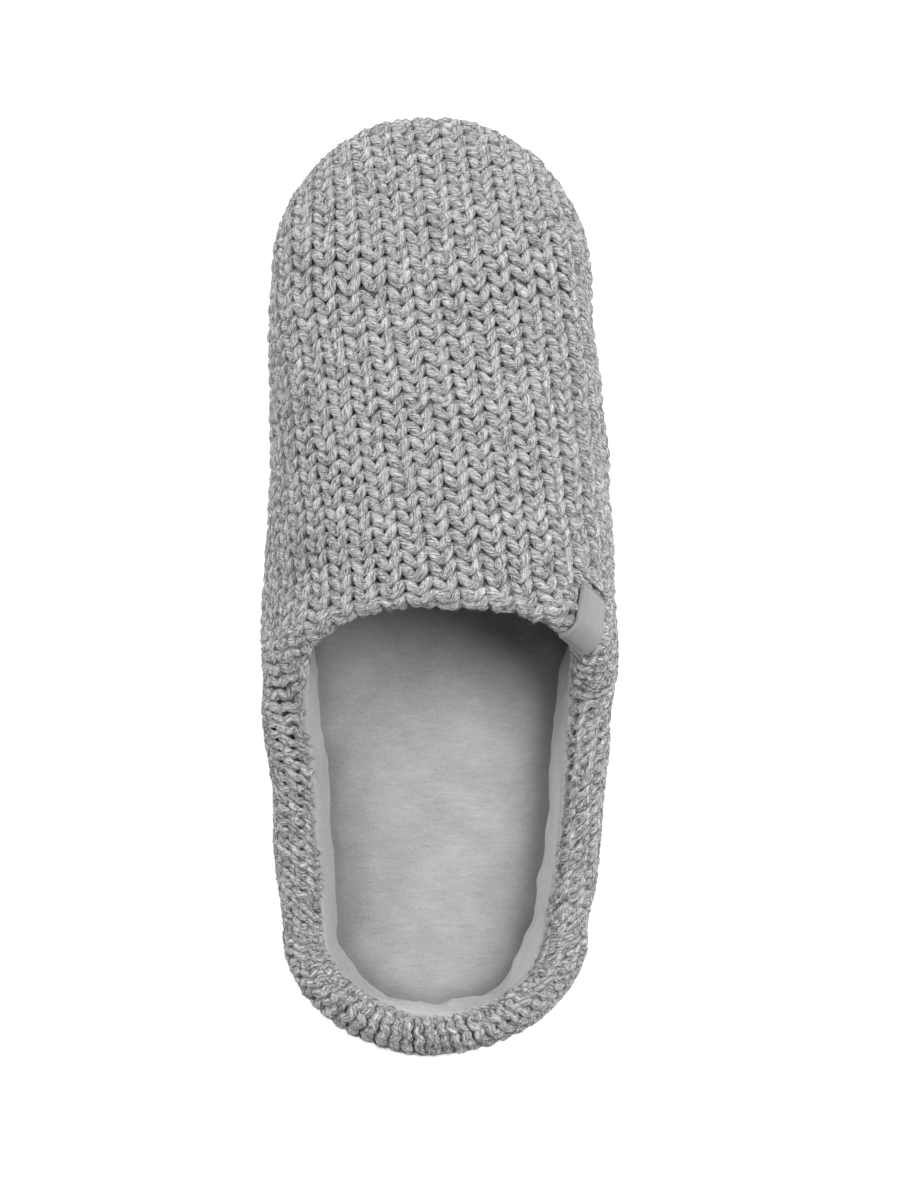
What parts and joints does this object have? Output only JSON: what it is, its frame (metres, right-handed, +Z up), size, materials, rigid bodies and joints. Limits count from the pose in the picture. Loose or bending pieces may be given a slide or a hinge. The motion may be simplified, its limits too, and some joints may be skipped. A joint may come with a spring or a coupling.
{
  "type": "knitted slipper",
  "caption": "Low slipper with a chunky knitted upper, a padded rolled collar, a plush footbed and a thick ribbed rubber sole; right foot, empty and standing.",
  "frame": {"origin": "on the floor, under the middle of the shoe's length and width", "axes": "+Z up, +Y towards the toe, +X towards the outer (lateral) side of this right shoe"},
  "size_m": [0.1067, 0.283, 0.0774],
  "materials": {
    "outsole": "matt dark grey moulded rubber",
    "knit": "chunky heather grey knit",
    "plush": "short brushed pile",
    "label": "smooth satin grey tab, bare"
  },
  "bodies": {
    "root": {"outsole": "outsole", "upper": "knit", "insole": "plush", "label": "label"}
  },
  "joints": []
}
